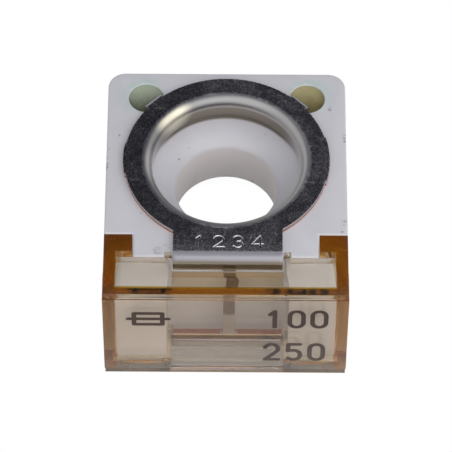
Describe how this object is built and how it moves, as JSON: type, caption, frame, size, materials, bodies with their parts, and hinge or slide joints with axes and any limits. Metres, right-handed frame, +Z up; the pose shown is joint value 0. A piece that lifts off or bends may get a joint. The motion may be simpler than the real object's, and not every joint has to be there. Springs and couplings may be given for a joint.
{
  "type": "battery terminal fuse",
  "caption": "Stud-mounted block fuse: square ceramic body with a countersunk stud hole, a folded contact strip with rings on both faces and a clear clip-on window over its link.",
  "frame": {"origin": "middle of the stud bore, half way between the two contact faces", "axes": "+Z along the stud axis, out of the face shown in the picture; -Y towards the window cover; +X to the right seen from the window with +Z up"},
  "size_m": [0.0194, 0.0221, 0.012],
  "materials": {
    "ceramic": "matt white fired ceramic with a few metal rub marks",
    "plated_copper": "tin-plated copper, worn and scratched, with bare copper on the sheared edges",
    "amber_plastic": "clear amber plastic, polished",
    "cement": "yellow-green stained cement"
  },
  "bodies": {
    "root": {"ceramic_body": "ceramic", "fuse_strip": "plated_copper", "window_cover": "amber_plastic", "upper_left_cement": "cement", "upper_right_cement": "cement", "lower_left_cement": "cement", "lower_right_cement": "cement"}
  },
  "joints": []
}
